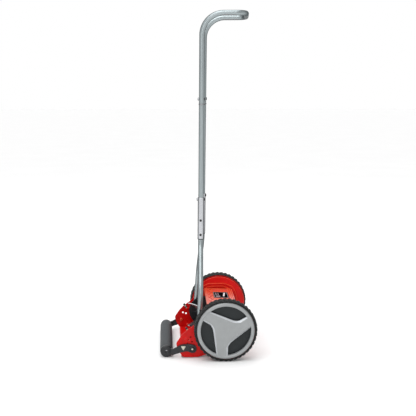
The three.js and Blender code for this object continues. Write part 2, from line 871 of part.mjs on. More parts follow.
// The middle tube starts inside the sleeve and ends in a narrow spigot inside the upper tube.
function middleTube(sign) {
  const line = middleLine(sign);
  const start = handlePoint(492, sign * SLEEVE_SIDE);
  const stations = bentRun([start, line.from, line.to], [80], [2]);
  const tube = hollowTube(stations, TUBE_RADIUS, TUBE_RADIUS - TUBE_WALL);
  const root = line.to.clone().addScaledVector(line.direction, -12);
  const profile = [[6.6, 0], [8.8, 0], [8.8, 11], [7.6, 12], [7.6, 56], [6.6, 56]];
  const spigot = steppedTube(profile, root, line.direction);
  return cut(
    join(tube, spigot),
    crossHole(lowerJoint(sign), FORWARD, BOLT_RADIUS + GAP),
    crossHole(upperJoint(sign), FORWARD, BOLT_RADIUS + GAP),
  );
}

function gripCorner(side, forward) {
  return handlePoint(GRIP_HEIGHT, side).addScaledVector(FORWARD, forward);
}

function upperGrip() {
  const leg = (sign) => {
    const { to, direction } = middleLine(sign);
    const start = to.clone().addScaledVector(direction, GAP);
    return [start, start.clone().addScaledVector(direction, 62)];
  };
  const [startRight, bendRight] = leg(-1);
  const [startLeft, bendLeft] = leg(1);
  const corners = [
    startRight,
    bendRight,
    gripCorner(-GRIP_SIDE, 0),
    gripCorner(-GRIP_SIDE, GRIP_REACH),
    gripCorner(GRIP_SIDE, GRIP_REACH),
    gripCorner(GRIP_SIDE, 0),
    bendLeft,
    startLeft,
  ];
  const radii = [200, GRIP_BEND, GRIP_CORNER, GRIP_CORNER, GRIP_BEND, 200];
  const stations = bentRun(corners, radii, [1, 5, 4, 4, 5, 1]);
  return cut(
    hollowTube(stations, TUBE_RADIUS, TUBE_RADIUS - TUBE_WALL),
    crossHole(upperJoint(-1), FORWARD, BOLT_RADIUS + GAP),
    crossHole(upperJoint(1), FORWARD, BOLT_RADIUS + GAP),
  );
}

// A fore-and-aft joint bolt with its head on the rear side.
function jointBolt(centre, outerRadius) {
  const head = centre.clone().addScaledVector(FORWARD, -outerRadius - GAP);
  const end = centre.clone().addScaledVector(FORWARD, outerRadius + 2.5);
  return bolt(head.toArray(), end.toArray(), BOLT_RADIUS, 5.6, 4.2);
}

function handlePivotBolt() {
  const { x, z } = HANDLE_PIVOT;
  return bolt([x, TUBE_FOOT_SIDE - TUBE_RADIUS - GAP, z], [x, PLATE_OUTER, z], 4.2, 7, 2.6);
}

// ---------------------------------------------------------------- assembly
addPair("side_plate", sidePlate(), "redPaint");
addPair("gear_cover", gearCover(), "redPlastic");
addPair("stub_axle", stubAxle(), "brightSteel");
addPair("reel_bearing", reelBearing(), "blackPlastic");
addPiece("deflector_cover", deflectorCover(), "redPaint");
addPiece("cover_decal", coverDecal(), "label");

addPiece("bed_knife_carrier", bedKnifeCarrier(), "redPaint");
addPiece("bed_knife", bedKnife(), "bladeSteel");
addPair("adjuster_screw", adjusterScrew(), "zinc");
addPair("knife_pivot_bolt", knifePivotBolt(), "redPaint");

addPiece("roller", rollerBody(), "roller");
addPiece("roller_shaft", rollerShaft(), "brightSteel");
addPair("roller_arm", rollerArm(), "blackPaint");
addPair("arm_pivot_rivet", armPivotRivet(), "blackPaint");
addPair("arm_clamp_nut", armClampNut(), "zinc");
addPair("arm_clamp_bolt", clampBolt(), "redPaint");

addPiece("reel_shaft", reelShaft(), "brightSteel");
for (let i = 0; i < BLADE_COUNT; i++) addPiece(`reel_blade_${i + 1}`, reelBlade(i), "bladeSteel");
addPiece("reel_spider", reelSpider(0), "blackPaint");
addPair("reel_disc", reelDisc(), "blackPaint");
addPair("pinion", pinion(), "blackPlastic");

addPair("wheel_body", wheelBody(), "redPlastic");
addPair("drive_gear", ringGear(), "blackPlastic");
addPair("tyre", tyre(), "rubber");
addPair("hub_insert", hubInsert(), "blackPlastic");
addPair("hub_cap", hubCap(), "greyPlastic");

for (const { name, sign } of SIDES) {
  addPiece(`lower_tube_${name}`, lowerTube(sign), "tube");
  addPiece(`sleeve_${name}`, sleeve(sign), "brightSteel");
  addPiece(`middle_tube_${name}`, middleTube(sign), "tube");
  addPiece(`upper_joint_bolt_${name}`, jointBolt(upperJoint(sign), TUBE_RADIUS), "brightSteel");
  addPiece(`lower_joint_bolt_${name}`, jointBolt(lowerJoint(sign), SLEEVE_RADIUS), "brightSteel");
}
addPiece("upper_grip", upperGrip(), "tube");
addPair("handle_pivot_bolt", handlePivotBolt(), "brightSteel");

export default mower;
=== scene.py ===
"""Reel mower in its parking position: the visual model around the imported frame."""

import json
import math

import bmesh
import bpy
from mathutils import Matrix, Vector
from mathutils.geometry import tessellate_polygon

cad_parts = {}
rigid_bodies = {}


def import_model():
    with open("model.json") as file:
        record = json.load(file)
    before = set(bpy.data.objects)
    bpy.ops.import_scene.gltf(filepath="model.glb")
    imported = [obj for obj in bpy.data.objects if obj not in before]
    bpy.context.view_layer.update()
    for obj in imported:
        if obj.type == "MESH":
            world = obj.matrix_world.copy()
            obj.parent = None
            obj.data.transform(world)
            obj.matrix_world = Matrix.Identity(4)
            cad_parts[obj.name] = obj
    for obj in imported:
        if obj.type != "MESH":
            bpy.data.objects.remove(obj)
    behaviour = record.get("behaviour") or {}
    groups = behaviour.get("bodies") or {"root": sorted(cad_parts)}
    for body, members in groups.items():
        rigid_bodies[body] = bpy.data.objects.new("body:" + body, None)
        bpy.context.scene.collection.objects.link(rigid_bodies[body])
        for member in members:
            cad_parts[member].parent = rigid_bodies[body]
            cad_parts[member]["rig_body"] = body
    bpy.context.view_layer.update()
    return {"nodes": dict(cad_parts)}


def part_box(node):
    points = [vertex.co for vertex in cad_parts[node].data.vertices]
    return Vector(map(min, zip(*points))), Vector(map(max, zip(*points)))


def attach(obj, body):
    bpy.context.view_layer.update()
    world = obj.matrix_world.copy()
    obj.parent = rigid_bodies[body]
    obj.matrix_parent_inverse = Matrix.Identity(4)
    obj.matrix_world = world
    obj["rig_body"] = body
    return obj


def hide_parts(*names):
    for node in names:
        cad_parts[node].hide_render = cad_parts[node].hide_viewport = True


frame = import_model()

MM = 0.001
SIDES = (("right", -1), ("left", 1))


def middle(node):
    low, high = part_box(node)
    return (low + high) / 2


# Shapes are worked out in millimetres from the wheel axle's upright: x forward, y left, z up.
ORIGIN_X = middle("tyre_right").x


def place_of(node):
    centre = middle(node)
    return (centre.x - ORIGIN_X) / MM, centre.z / MM


AXLE = place_of("tyre_right")
REEL = place_of("reel_shaft")
ROLLER = place_of("roller")
ARM_PIVOT = place_of("arm_pivot_rivet_right")
ARM_CLAMP = place_of("arm_clamp_bolt_right")
KNIFE_PIVOT = place_of("knife_pivot_bolt_right")
HANDLE_PIVOT = place_of("handle_pivot_bolt_right")
PLATE_OUTER = 168.0
WALL = 1.2  # of the handle's tubes


def add_object(name, data):
    made = bpy.data.objects.new(name, data)
    bpy.context.scene.collection.objects.link(made)
    return made


# ---------------------------------------------------------------- materials
def linear(red, green, blue):
    """A colour given as 0-255 screen values, as scene linear."""
    def one(value):
        value /= 255
        return value / 12.92 if value <= 0.04045 else ((value + 0.055) / 1.055) ** 2.4
    return one(red), one(green), one(blue), 1.0


def add_node(nodes, kind, **values):
    """A shader node with some inputs set; an underscore stands for a space in an input's name."""
    made = nodes.new("ShaderNode" + kind)
    for name, value in values.items():
        made.inputs[name.replace("_", " ")].default_value = value
    return made


def material(name, colour, roughness, metallic=0.0, vary=0.12, vary_scale=60.0, rough_vary=0.08,
             grain_scale=1500.0, grain_depth=0.00002, stretch=(1, 1, 1), coat=0.0, coat_roughness=0.1,
             specular=0.5, painted_edge_shade=0.0):
    """Principled paint, plastic or metal with mottled colour, uneven gloss and a fine grain; optionally the
    base colour is darkened towards grazing edges, a painted shade for a dark surround reflected there.
    """
    made = bpy.data.materials.new(name)
    made.use_nodes = True
    nodes, links = made.node_tree.nodes, made.node_tree.links
    shader = nodes["Principled BSDF"]
    shader.inputs["Metallic"].default_value = metallic
    shader.inputs["Coat Weight"].default_value = coat
    shader.inputs["Coat Roughness"].default_value = coat_roughness
    shader.inputs["Specular IOR Level"].default_value = specular

    place = add_node(nodes, "TexCoord")
    mapping = add_node(nodes, "Mapping", Scale=stretch)
    links.new(place.outputs["Object"], mapping.inputs["Vector"])

    mottle = add_node(nodes, "TexNoise", Scale=vary_scale, Detail=6)
    links.new(mapping.outputs["Vector"], mottle.inputs["Vector"])

    ramp = add_node(nodes, "ValToRGB")
    ramp.color_ramp.elements[0].position = 0.3
    ramp.color_ramp.elements[1].position = 0.7
    ramp.color_ramp.elements[0].color = [c * (1 - vary) for c in colour[:3]] + [1]
    ramp.color_ramp.elements[1].color = [min(1, c * (1 + vary)) for c in colour[:3]] + [1]
    links.new(mottle.outputs["Fac"], ramp.inputs["Fac"])
    # Painted shade: the base colour darkens towards grazing edges and the specular tint is dulled, standing
    # in for a dark surround reflected at the sides of tubes and bright steel.
    if painted_edge_shade:
        facing = add_node(nodes, "LayerWeight", Blend=0.45)
        darker = add_node(nodes, "Mix")
        darker.data_type = "RGBA"
        rim = add_node(nodes, "MapRange", From_Min=0.16, From_Max=0.46)  # where the dark edge sets in
        links.new(facing.outputs["Facing"], rim.inputs["Value"])
        links.new(rim.outputs["Result"], darker.inputs["Factor"])
        links.new(ramp.outputs["Color"], darker.inputs[6])
        darker.inputs[7].default_value = [c * (1 - painted_edge_shade) for c in colour[:3]] + [1]
        links.new(darker.outputs[2], shader.inputs["Base Color"])
        shader.inputs["Specular Tint"].default_value = (0.25, 0.27, 0.28, 1)
    else:
        links.new(ramp.outputs["Color"], shader.inputs["Base Color"])

    gloss = add_node(nodes, "MapRange", To_Min=max(0.02, roughness - rough_vary),
                     To_Max=min(1.0, roughness + rough_vary))
    links.new(mottle.outputs["Fac"], gloss.inputs["Value"])
    links.new(gloss.outputs["Result"], shader.inputs["Roughness"])

    grain = add_node(nodes, "TexNoise", Scale=grain_scale, Detail=3)
    links.new(mapping.outputs["Vector"], grain.inputs["Vector"])
    bump = add_node(nodes, "Bump", Strength=0.6, Distance=grain_depth)
    links.new(grain.outputs["Fac"], bump.inputs["Height"])
    links.new(bump.outputs["Normal"], shader.inputs["Normal"])
    return made


LOOKS = {
    "red_paint": material("red_paint", linear(197, 10, 7), 0.34, vary=0.09, coat=0.1, coat_roughness=0.2,
                          grain_scale=900, grain_depth=0.00003, specular=0.16),
    "red_plastic": material("red_plastic", linear(206, 12, 10), 0.42, vary=0.06, grain_scale=1800,
                            specular=0.25),
    "black_paint": material("black_paint", linear(16, 20, 24), 0.42, vary=0.2, coat=0.15,
                            coat_roughness=0.3, grain_scale=1100, grain_depth=0.00004),
    "black_plastic": material("black_plastic", linear(30, 35, 37), 0.5, vary=0.12, grain_scale=2400,
                              grain_depth=0.00003, specular=0.35),
    "grey_plastic": material("grey_plastic", linear(151, 154, 155), 0.42, metallic=0.15, vary=0.04,
                             grain_scale=2600, grain_depth=0.00002, coat=0.15, coat_roughness=0.3),
    "tyre": material("tyre", linear(20, 23, 23), 0.75, vary=0.25, vary_scale=220, rough_vary=0.12,
                     grain_scale=1600, grain_depth=0.00012, specular=0.4),
    "roller_plastic": material("roller_plastic", linear(58, 62, 65), 0.62, vary=0.14, vary_scale=180,
                               grain_scale=1400, grain_depth=0.00008),
    # Painted shade along the grazing edges of the tubes.
    "tube_paint": material("tube_paint", linear(162, 171, 173), 0.3, metallic=0.75, vary=0.06,
                           grain_scale=2600, stretch=(1, 1, 0.12), grain_depth=0.000004,
                           specular=0.2, painted_edge_shade=0.6),
    # Painted shade along the grazing edges of bright steel.
    "bright_steel": material("bright_steel", linear(200, 202, 206), 0.24, metallic=0.9, vary=0.05,
                             vary_scale=120, grain_scale=3000, stretch=(1, 1, 0.1), grain_depth=0.00001,
                             specular=0.2, painted_edge_shade=0.95),
    "blade_steel": material("blade_steel", linear(24, 26, 28), 0.4, metallic=0.3, vary=0.25,
                            grain_scale=900, stretch=(1, 0.2, 1)),
    "zinc": material("zinc", linear(206, 203, 188), 0.34, metallic=0.6, vary=0.08, vary_scale=300,
                     grain_scale=2500),
    "label": material("label", linear(8, 9, 12), 0.8, vary=0.2, grain_scale=3000, specular=0.0),
}
# Painted reflection: a lighter, orange-salmon red standing in for the glancing sheen on the red paint; it
# colours the whole cover sheet, the gear covers' sloping faces and the domes of the round bolt heads.
ROOF_PAINTED_SHEEN = material("roof_painted_sheen", linear(224, 84, 44), 0.32, vary=0.08, coat=0.5, coat_roughness=0.16,
                      grain_scale=900, grain_depth=0.00003)
# Painted highlight: a light salmon tone for the flat crests of the cover's ribs.
RIB_CREST_HIGHLIGHT = material("rib_crest_highlight", linear(236, 132, 96), 0.3, vary=0.06, coat=0.5, coat_roughness=0.16,
                     grain_scale=900, grain_depth=0.00003)
# Painted shade: a dark red standing in for the shade in holes on the side plates.
PLUG_PAINTED_SHADE = material("plug_painted_shade", linear(112, 10, 10), 0.6, vary=0.1, grain_scale=1600, specular=0.1)
GROUND_EDGE = material("ground_edge", linear(214, 216, 218), 0.22, metallic=0.95, vary=0.08, vary_scale=400,
                       grain_scale=2500, stretch=(1, 0.1, 1))
# Painted highlight: a lighter grey for the chamfers round the hub cap's windows.
CAP_CHAMFER_HIGHLIGHT = material("cap_chamfer_highlight", linear(196, 200, 204), 0.38, metallic=0.15, vary=0.04, grain_scale=2600,
                    grain_depth=0.00002, coat=0.15, coat_roughness=0.3)
PRINT_WHITE = material("print_white", linear(226, 228, 230), 0.35, vary=0.03, coat=0.5, coat_roughness=0.15)
PRINT_GREY = material("print_grey", linear(120, 128, 134), 0.35, vary=0.05, coat=0.5, coat_roughness=0.15)


# ---------------------------------------------------------------- shapes: (vertices in mm, faces)
def merged(*shapes):
    vertices, faces = [], []
    for some_vertices, some_faces in shapes:
        start = len(vertices)
        vertices += some_vertices
        faces += [[start + i for i in face] for face in some_faces]
    return vertices, faces


def mirrored(shape, sign):
    """The same shape on the mower's other side when sign is -1."""
    vertices, faces = shape
    return [Vector((v[0], sign * v[1], v[2])) for v in vertices], faces


def soften(points, reach, steps=3, closed=True):
    """A polyline whose corners are rounded over reach along both edges."""
    rounded = []
    count = len(points)
    for i, point in enumerate(points):
        here = Vector(point)
        if not closed and i in (0, count - 1):
            rounded.append(here)
            continue
        back = Vector(points[i - 1]) - here
        ahead = Vector(points[(i + 1) % count]) - here
        own = min(reach, 0.48 * back.length, 0.48 * ahead.length)
        start, end = here + back.normalized() * own, here + ahead.normalized() * own
        for k in range(steps + 1):
            t = k / steps
            rounded.append(start * (1 - t) ** 2 + here * (2 * t * (1 - t)) + end * t * t)
    return rounded


def lathed(profile, origin, axis, segments, closed=True):
    """A profile of (radius, distance) turned about an axis through origin."""
    axis = Vector(axis).normalized()
    side = axis.orthogonal().normalized()
    other = axis.cross(side)
    count = len(profile)
    vertices, faces = [], []
    for k in range(segments):
        angle = 2 * math.pi * k / segments
        out = side * math.cos(angle) + other * math.sin(angle)
        vertices += [Vector(origin) + out * r + axis * d for r, d in profile]
    for k in range(segments):
        here, following = k * count, (k + 1) % segments * count
        for i in range(count if closed else count - 1):
            j = (i + 1) % count
            faces.append([here + i, here + j, following + j, following + i])
    return vertices, faces


def about_y(profile, centre, segments, closed=True):
    """A profile of (radius, y) turned about an axis along Y through centre (x, z)."""
    return lathed(profile, (centre[0], 0, centre[1]), (0, 1, 0), segments, closed)


def slab(outline, low, high, holes=()):
    """A flat piece in the X-Z plane with thickness along Y, with holes through it."""
    loops = [[Vector((p[0], p[1], 0)) for p in loop] for loop in (outline, *holes)]
    flat = [point for loop in loops for point in loop]
    caps = tessellate_polygon(loops)
    count = len(flat)
    vertices = [Vector((p.x, low, p.y)) for p in flat] + [Vector((p.x, high, p.y)) for p in flat]
    faces = [list(t) for t in caps] + [[count + i for i in reversed(t)] for t in caps]
    start = 0
    for loop in loops:
        size = len(loop)
        for i in range(size):
            a, b = start + i, start + (i + 1) % size
            faces.append([a, b, count + b, count + a])
        start += size
    return vertices, faces


def circle(centre, radius, count):
    turns = [2 * math.pi * k / count for k in range(count)]
    return [(centre[0] + radius * math.cos(turn), centre[1] + radius * math.sin(turn)) for turn in turns]


def bent_path(corners, radii):
    """Points along a polyline whose inner corners are arcs of the given radii, in steps of 5 degrees."""
    step = math.radians(5)
    points = [Vector(corners[0])]
    for i, radius in enumerate(radii, start=1):
        here = Vector(corners[i])
        back = (Vector(corners[i - 1]) - here).normalized()
        ahead = (Vector(corners[i + 1]) - here).normalized()
        half = back.angle(ahead) / 2
        centre = here + (back + ahead).normalized() * (radius / math.sin(half))
        first = here + back * (radius / math.tan(half)) - centre
        last = here + ahead * (radius / math.tan(half)) - centre
        axis = first.cross(last).normalized()
        sweep = first.angle(last)
        steps = max(2, round(sweep / step))
        points += [centre + Matrix.Rotation(sweep * k / steps, 3, axis) @ first for k in range(steps + 1)]
    return points + [Vector(corners[-1])]


def swept(path, radius):
    """A round hollow tube along a path."""
    sides = 36
    tangents = []
    for i in range(len(path)):
        ahead = path[min(i + 1, len(path) - 1)] - path[i]
        back = path[i] - path[max(i - 1, 0)]
        tangents.append((ahead.normalized() + back.normalized()).normalized())
    side = tangents[0].orthogonal().normalized()
    rings = []
    for i, (point, tangent) in enumerate(zip(path, tangents)):
        if i:
            turn = tangents[i - 1].rotation_difference(tangent)
            side = (turn @ side).normalized()
        rings.append((point, side.copy(), tangent.cross(side)))

    def surface(size):
        turns = [2 * math.pi * k / sides for k in range(sides)]
        return [point + (u * math.cos(turn) + w * math.sin(turn)) * size
                for point, u, w in rings for turn in turns]

    def skin(start):
        return [
            [start + i * sides + k, start + i * sides + (k + 1) % sides,
             start + (i + 1) * sides + (k + 1) % sides, start + (i + 1) * sides + k]
            for i in range(len(path) - 1)
            for k in range(sides)
        ]

    vertices, faces = surface(radius), skin(0)
    inner = len(vertices)
    vertices += surface(radius - WALL)
    faces += skin(inner)
    for end in (0, (len(path) - 1) * sides):
        for k in range(sides):
            j = (k + 1) % sides
            faces.append([end + k, end + j, inner + end + j, inner + end + k])
    return vertices, faces


def rib(path, section, place):
    """A rib along a flat path: section lists four (half width, height) pairs, place puts them in space."""
    points = [Vector(p) for p in path]
    final = len(points) - 1
    vertices, faces = [], []
    for i, point in enumerate(points):
        ahead = points[i + 1] - point if i < final else point - points[i - 1]
        back = point - points[i - 1] if i else ahead
        along = (ahead.normalized() + back.normalized()).normalized()
        out = Vector((-along.y, along.x))
        vertices += [place(point + out * half, height) for half, height in section]
    for i in range(final):
        for k in range(4):
            m = (k + 1) % 4
            faces.append([4 * i + k, 4 * i + m, 4 * i + 4 + m, 4 * i + 4 + k])
    last = 4 * final
    return vertices, faces + [[0, 1, 2, 3], [last, last + 1, last + 2, last + 3]]


def ridge(path, low, high, base_half, top_half):
    """A rib along a path in the X-Z plane, from y = low at its foot to y = high at its crest."""
    section = ((-base_half, low), (-top_half, high), (top_half, high), (base_half, low))
    return rib(path, section, lambda spot, y: Vector((spot.x, y, spot.y)))


def prism(base, top):
    """A closed piece between two outlines that have the same number of corners."""
    count = len(base)
    faces = [list(range(count)), list(range(count, 2 * count))]
    faces += [[i, (i + 1) % count, count + (i + 1) % count, count + i] for i in range(count)]
    return base + top, faces


# ---------------------------------------------------------------- pieces
def row(point):
    return Vector((ORIGIN_X + point[0] * MM, point[1] * MM, point[2] * MM))


def dress(piece, body, replaced, bevel, smooth):
    """Gives a new piece smooth shading, soft edges and its body."""
    piece.data.shade_smooth()
    piece.data.set_sharp_from_angle(angle=math.radians(smooth))
    if bevel:
        edge = piece.modifiers.new("soft_edges", "BEVEL")
        edge.width = bevel * MM
        edge.segments = 2
        edge.limit_method = "ANGLE"
        edge.angle_limit = math.radians(smooth)
        edge.harden_normals = True
    if replaced:
        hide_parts(*replaced)
    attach(piece, body)


def make(name, shape, look, body, replaced=(), bevel=0.0, smooth=35, second=None, where=None):
    """A piece from a shape. A second look goes on the faces that where picks, or on all of them."""
    vertices, faces = shape
    mesh = bpy.data.meshes.new(name)
    mesh.from_pydata([row(v) for v in vertices], [], faces)
    mesh.materials.append(LOOKS[look])
    if second:
        mesh.materials.append(second)
        for face in mesh.polygons:
            face.material_index = 1 if where is None or where(face) else 0
    worked = bmesh.new()
    worked.from_mesh(mesh)
    bmesh.ops.remove_doubles(worked, verts=worked.verts, dist=1e-6)
    bmesh.ops.dissolve_degenerate(worked, edges=worked.edges, dist=1e-6)
    bmesh.ops.recalc_face_normals(worked, faces=worked.faces)
    worked.to_mesh(mesh)
    worked.free()
    dress(add_object(name, mesh), body, replaced, bevel, smooth)


def refined(node, look, bevel):
    """A copy of a CAD node with its flats joined, its edges softened and its finish on."""
    source = frame["nodes"][node]
    worked = bmesh.new()
    worked.from_mesh(source.data)
    bmesh.ops.remove_doubles(worked, verts=worked.verts, dist=2e-6)
    bmesh.ops.dissolve_limit(worked, angle_limit=math.radians(0.8), verts=worked.verts, edges=worked.edges)
    mesh = bpy.data.meshes.new(node + "_fine")
    worked.to_mesh(mesh)
    worked.free()
    mesh.materials.clear()
    mesh.materials.append(LOOKS[look])
    dress(add_object(node + "_fine", mesh), source["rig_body"], (node,), bevel, smooth=32)


def sloping(low, high):
    """Picks the faces whose normal lies along Y by a share between low and high."""
    return lambda face: low < abs(face.normal.y) < high


# ---------------------------------------------------------------- camera, light and floor
def aim(thing, target):
    thing.rotation_euler = (Vector(target) - thing.location).to_track_quat("-Z", "Y").to_euler()


def camera():
    lens, yaw, pitch = 67.86, math.radians(3.165), math.radians(8.438)
    behind_axle, aside, height = 0.2063, 2.8234, 0.9273
    data = bpy.data.cameras.new("camera")
    data.lens = lens
    data.sensor_width = 36.0
    data.clip_end = 50.0
    made = add_object("camera", data)
    made.location = (ORIGIN_X - behind_axle, -aside, height)
    ahead = Vector((math.sin(yaw) * math.cos(pitch), math.cos(yaw) * math.cos(pitch), -math.sin(pitch)))
    aim(made, made.location + ahead)
    bpy.context.scene.camera = made


def area_light(name, location, target, size, power):
    data = bpy.data.lights.new(name, "AREA")
    data.shape = "DISK"
    data.size = size
    data.energy = power
    made = add_object(name, data)
    made.location = location
    aim(made, target)


def sky():
    """An even white surround, a little dimmer on the camera's side."""
    near_glow, far_glow = 0.55, 1.0
    world = bpy.data.worlds.new("studio")
    world.use_nodes = True
    nodes, links = world.node_tree.nodes, world.node_tree.links
    place = add_node(nodes, "TexCoord")
    parts = add_node(nodes, "SeparateXYZ")
    ramp = add_node(nodes, "MapRange", From_Min=-0.5, From_Max=0.5, To_Min=near_glow, To_Max=far_glow)
    links.new(place.outputs["Generated"], parts.inputs["Vector"])
    links.new(parts.outputs["Y"], ramp.inputs["Value"])
    links.new(ramp.outputs["Result"], nodes["Background"].inputs["Strength"])
    nodes["Background"].inputs["Color"].default_value = (1, 1, 1, 1)
    bpy.context.scene.world = world
    bpy.context.scene.view_settings.view_transform = "Standard"


def ground():
    half, pale = 40.0, (0.88, 0.88, 0.88, 1)
    corners = [(-half, -half, 0), (half, -half, 0), (half, half, 0), (-half, half, 0)]
    mesh = bpy.data.meshes.new("floor")
    mesh.from_pydata(corners, [], [[0, 1, 2, 3]])
    floor = add_object("floor", mesh)
    mesh.materials.append(material("floor", pale, 0.9, vary=0.01, vary_scale=2, grain_scale=80,
                                   specular=0.1))


def lights():
    sun = bpy.data.lights.new("soft_sun", "SUN")
    sun.energy = 1.35
    sun.angle = math.radians(50)
    lamp = add_object("soft_sun", sun)
    lamp.location = (-1.2, -1.8, 3.0)
    aim(lamp, (0, 0, 0))
    area_light("overhead", (-0.1, 0.3, 3.4), (0, 0, 0), size=2.0, power=30)
    area_light("front_panel", (-0.9, -4.4, 1.5), (0, 0, 0.6), size=1.5, power=14)


camera()
sky()
ground()
lights()


# ---------------------------------------------------------------- wheels
TYRE = 110.0
TREAD_LOW, TREAD_HIGH = 178.0, 218.0


def polar(centre, radius, angle):
    return centre[0] + radius * math.cos(angle), centre[1] + radius * math.sin(angle)


def tread_radius(y):
    """The crowned tread: full height outside, falling away over the inner shoulder."""
    return TYRE - 0.15 - 3.2 * max(0.0, (TREAD_LOW + 12 - y) / 12)


def tyre_shape():
    """A carcass with slanted tread lugs that meet in chevrons over the middle of the tread."""
    lugs = 40
    low, high, depth = TREAD_LOW, TREAD_HIGH, 2.8
    inner, lip = 104.4, 101.0
    base = TYRE - depth
    profile = [
        (inner, low + 0.2), (base - 3.4, low + 0.1), (base - 2.6, low + 1.4), (base, low + 12),
        (base, high - 3.5), (base - 0.6, high - 1.2), (base - 2.2, high), (lip + 1.4, high - 0.6),
        (lip, high - 1.8), (lip, 214.4), (lip + 0.4, 213.9), (inner, 213.9),
    ]
    parts = [about_y(profile, AXLE, 120)]
    middle_y = (low + high) / 2 + 2
    half_angle = math.pi / lugs * 0.56
    rows = (((low + 1.0, low + 12, middle_y - 0.5), 1), ((middle_y + 0.5, high - 6, high - 0.9), -1))
    for k in range(lugs):
        for stations, lean in rows:
            start = 2 * math.pi * k / lugs
            vertices = []
            for y in stations:
                share = (y - stations[0]) / (stations[-1] - stations[0])
                turn = start + (share if lean > 0 else 1 - share) * 1.3 * half_angle
                top = tread_radius(y) - (1.6 if y > high - 2 else 0.0)
                foot = top - depth - 0.8
                for radius, side in ((foot, -1), (top, -0.8), (top, 0.8), (foot, 1)):
                    x, z = polar(AXLE, radius, turn + side * half_angle)
                    vertices.append(Vector((x, y, z)))
            faces = [[0, 1, 2, 3], [8, 9, 10, 11]]
            for first in (0, 4):
                faces += [[first + i, first + (i + 1) % 4, first + 4 + (i + 1) % 4, first + 4 + i]
                          for i in range(4)]
            parts.append((vertices, faces))
    return merged(*parts)


def wheel_body_shape():
    """The rim, its lip, the web and the hub."""
    rim, bore = 104.0, 6.65
    profile = [
        (bore, 171.5), (13, 171.5), (14, 172.5), (16, 194.6), (rim - 3, 194.6), (rim - 3, 180),
        (rim - 2.6, 179), (rim - 0.5, 179), (rim, 179.6), (rim, 213), (rim - 0.5, 213.5),
        (rim - 2.5, 213.5), (rim - 3, 213), (rim - 3, 198), (14, 201.5), (bore, 201.5),
    ]
    return about_y(profile, AXLE, 96)


def hub_cap_shape():
    """The rounded rim ring of the cap."""
    ring = soften([
        (87.3, 209), (87.3, 218.2), (89.5, 220.2), (93.5, 220.9), (97.2, 219.6), (99.9, 216.4),
        (100.2, 208.4), (98.5, 208.4), (97.8, 212), (94, 215), (90, 213.5), (89, 209),
    ], 1.4, 3)
    return about_y([tuple(p) for p in ring], AXLE, 120)


WINDOW_RADIUS = 87.6  # the outer arc of the three windows in the cap
WINDOW_START, WINDOW_END = 34.5, 128.0  # degrees
STAR_RADIUS = 88.8
WINDOW_CHAMFER = 6.4


def window_outline(turn):
    """One window about the axle: an arc outside and a straight and a curved side that meet inwards."""
    def at(degrees, radius):
        return polar((0, 0), radius, math.radians(degrees) + turn)

    start, end = math.radians(WINDOW_START) + turn, math.radians(WINDOW_END) + turn
    a, b, c = Vector(at(62, 43.5)), Vector(at(46, 46.5)), Vector(at(37.5, 58))
    points = [at(WINDOW_END, WINDOW_RADIUS)]
    for k in range(9):
        t = k / 8
        points.append(tuple(a * (1 - t) ** 2 + b * (2 * t * (1 - t)) + c * t * t))
    steps = 40
    points += [polar((0, 0), WINDOW_RADIUS, start + (end - start) * k / steps) for k in range(steps)]
    return soften(points, 2.2, 2)


def window_loops(growth):
    """The cap's three windows, each grown from its middle but kept inside the star."""
    holes, limit = [], STAR_RADIUS - 0.8
    for i in range(3):
        window = window_outline(i * 2 * math.pi / 3)
        centre = sum(window, Vector((0, 0))) / len(window)
        grown = []
        for point in window:
            away = point - centre
            point = centre + away.normalized() * (away.length + growth)
            if point.length > limit:
                point = point.normalized() * limit
            grown.append((AXLE[0] + point.x, AXLE[1] + point.y))
        holes.append(grown)
    return holes


def star_shape(low, edge, high):
    """The cap's three-spoke face: a disc less its windows, chamfered from y = edge to y = high."""
    outline = circle(AXLE, STAR_RADIUS, 120)
    loops = [outline, *window_loops(0)]
    tops = [outline, *window_loops(WINDOW_CHAMFER)]
    count = sum(len(loop) for loop in loops)
    vertices = [Vector((x, y, z)) for y, group in ((low, loops), (edge, loops), (high, tops))
                for loop in group for x, z in loop]
    caps = tessellate_polygon([[Vector((x, z, 0)) for x, z in loop] for loop in loops])
    front = tessellate_polygon([[Vector((x, z, 0)) for x, z in loop] for loop in tops])
    faces = [list(t) for t in caps] + [[2 * count + i for i in t] for t in front]
    start = 0
    for loop in loops:
        size = len(loop)
        for level in (0, count):
            for i in range(size):
                a, b = level + start + i, level + start + (i + 1) % size
                faces.append([a, b, b + count, a + count])
        start += size
    return vertices, faces


def wheels():
    for side, sign in SIDES:
        body = side + "_wheel"
        make("tyre_tread_" + side, mirrored(tyre_shape(), sign), "tyre", body, ("tyre_" + side,), 0.35, 30)
        make("rim_" + side, mirrored(wheel_body_shape(), sign), "red_plastic", body,
             ("wheel_body_" + side,), 0.25)
        make("cap_ring_" + side, mirrored(hub_cap_shape(), sign), "grey_plastic", body,
             ("hub_cap_" + side,))
        star = star_shape(210.5, 214.8, 219.4)
        # The chamfers round the windows take the lighter grey, a painted highlight.
        make("cap_star_" + side, mirrored(star, sign), "grey_plastic", body, bevel=0.5, smooth=25,
             second=CAP_CHAMFER_HIGHLIGHT, where=sloping(0.05, 0.97))
        insert = about_y([(12, 205.5), (98.8, 205.5), (99.3, 206), (99.3, 207.2), (98.8, 207.9),
                          (88, 207.9), (87.5, 206.9), (20, 206.9), (19, 207.9), (12, 207.9)], AXLE, 96)
        make("insert_" + side, mirrored(insert, sign), "black_plastic", body, ("hub_insert_" + side,))
        make("gear_hub_" + side, mirrored(wheel_gear_ribs(), sign), "red_plastic", body)
        refined("drive_gear_" + side, "black_plastic", 0.2)


